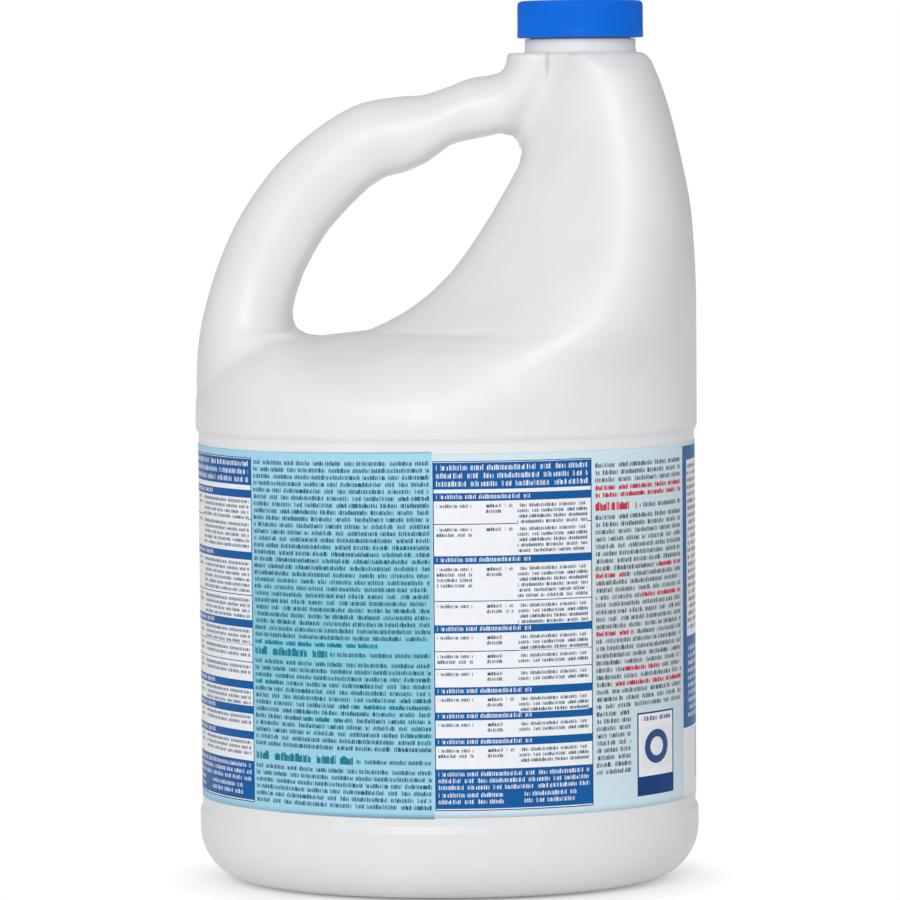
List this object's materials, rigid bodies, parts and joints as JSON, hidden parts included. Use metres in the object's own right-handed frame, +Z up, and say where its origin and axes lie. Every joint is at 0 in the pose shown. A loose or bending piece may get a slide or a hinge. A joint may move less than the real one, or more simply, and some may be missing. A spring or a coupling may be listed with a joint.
{
  "type": "plastic jug with loop handle and screw cap",
  "caption": "Oval blow-moulded liquid jug with a hollow loop handle, recessed wrap label and ribbed screw cap.",
  "frame": {"origin": "middle of the oval body on the plane that the base ring stands on", "axes": "+Z up, +X from the handle towards the neck side, Y = 0 is the parting plane"},
  "size_m": [0.176, 0.127, 0.308],
  "materials": {
    "white_hdpe": "satin",
    "blue_cap_plastic": "satin",
    "liner_foam": "matt",
    "label_film": "semi-gloss print"
  },
  "bodies": {
    "jug": {"bottle": "white_hdpe", "shoulder": "white_hdpe", "handle": "white_hdpe", "label": "label_film"},
    "seal": {"cap_liner": "liner_foam"},
    "screw_cap": {"cap": "blue_cap_plastic"}
  },
  "joints": [
    {"name": "cap_lift", "type": "slide", "parent": "jug", "child": "seal", "axis": [0, 0, 1], "range_m": [0, 0.00634]},
    {"name": "cap_turn", "type": "hinge", "parent": "seal", "child": "screw_cap", "pos_m": [0.048, 0, 0.3], "axis": [0, 0, 1], "range_deg": [0, 540]}
  ],
  "couplings": [
    {"joint": "cap_lift", "follows": "cap_turn", "m_per_rad": 0.00067323}
  ]
}
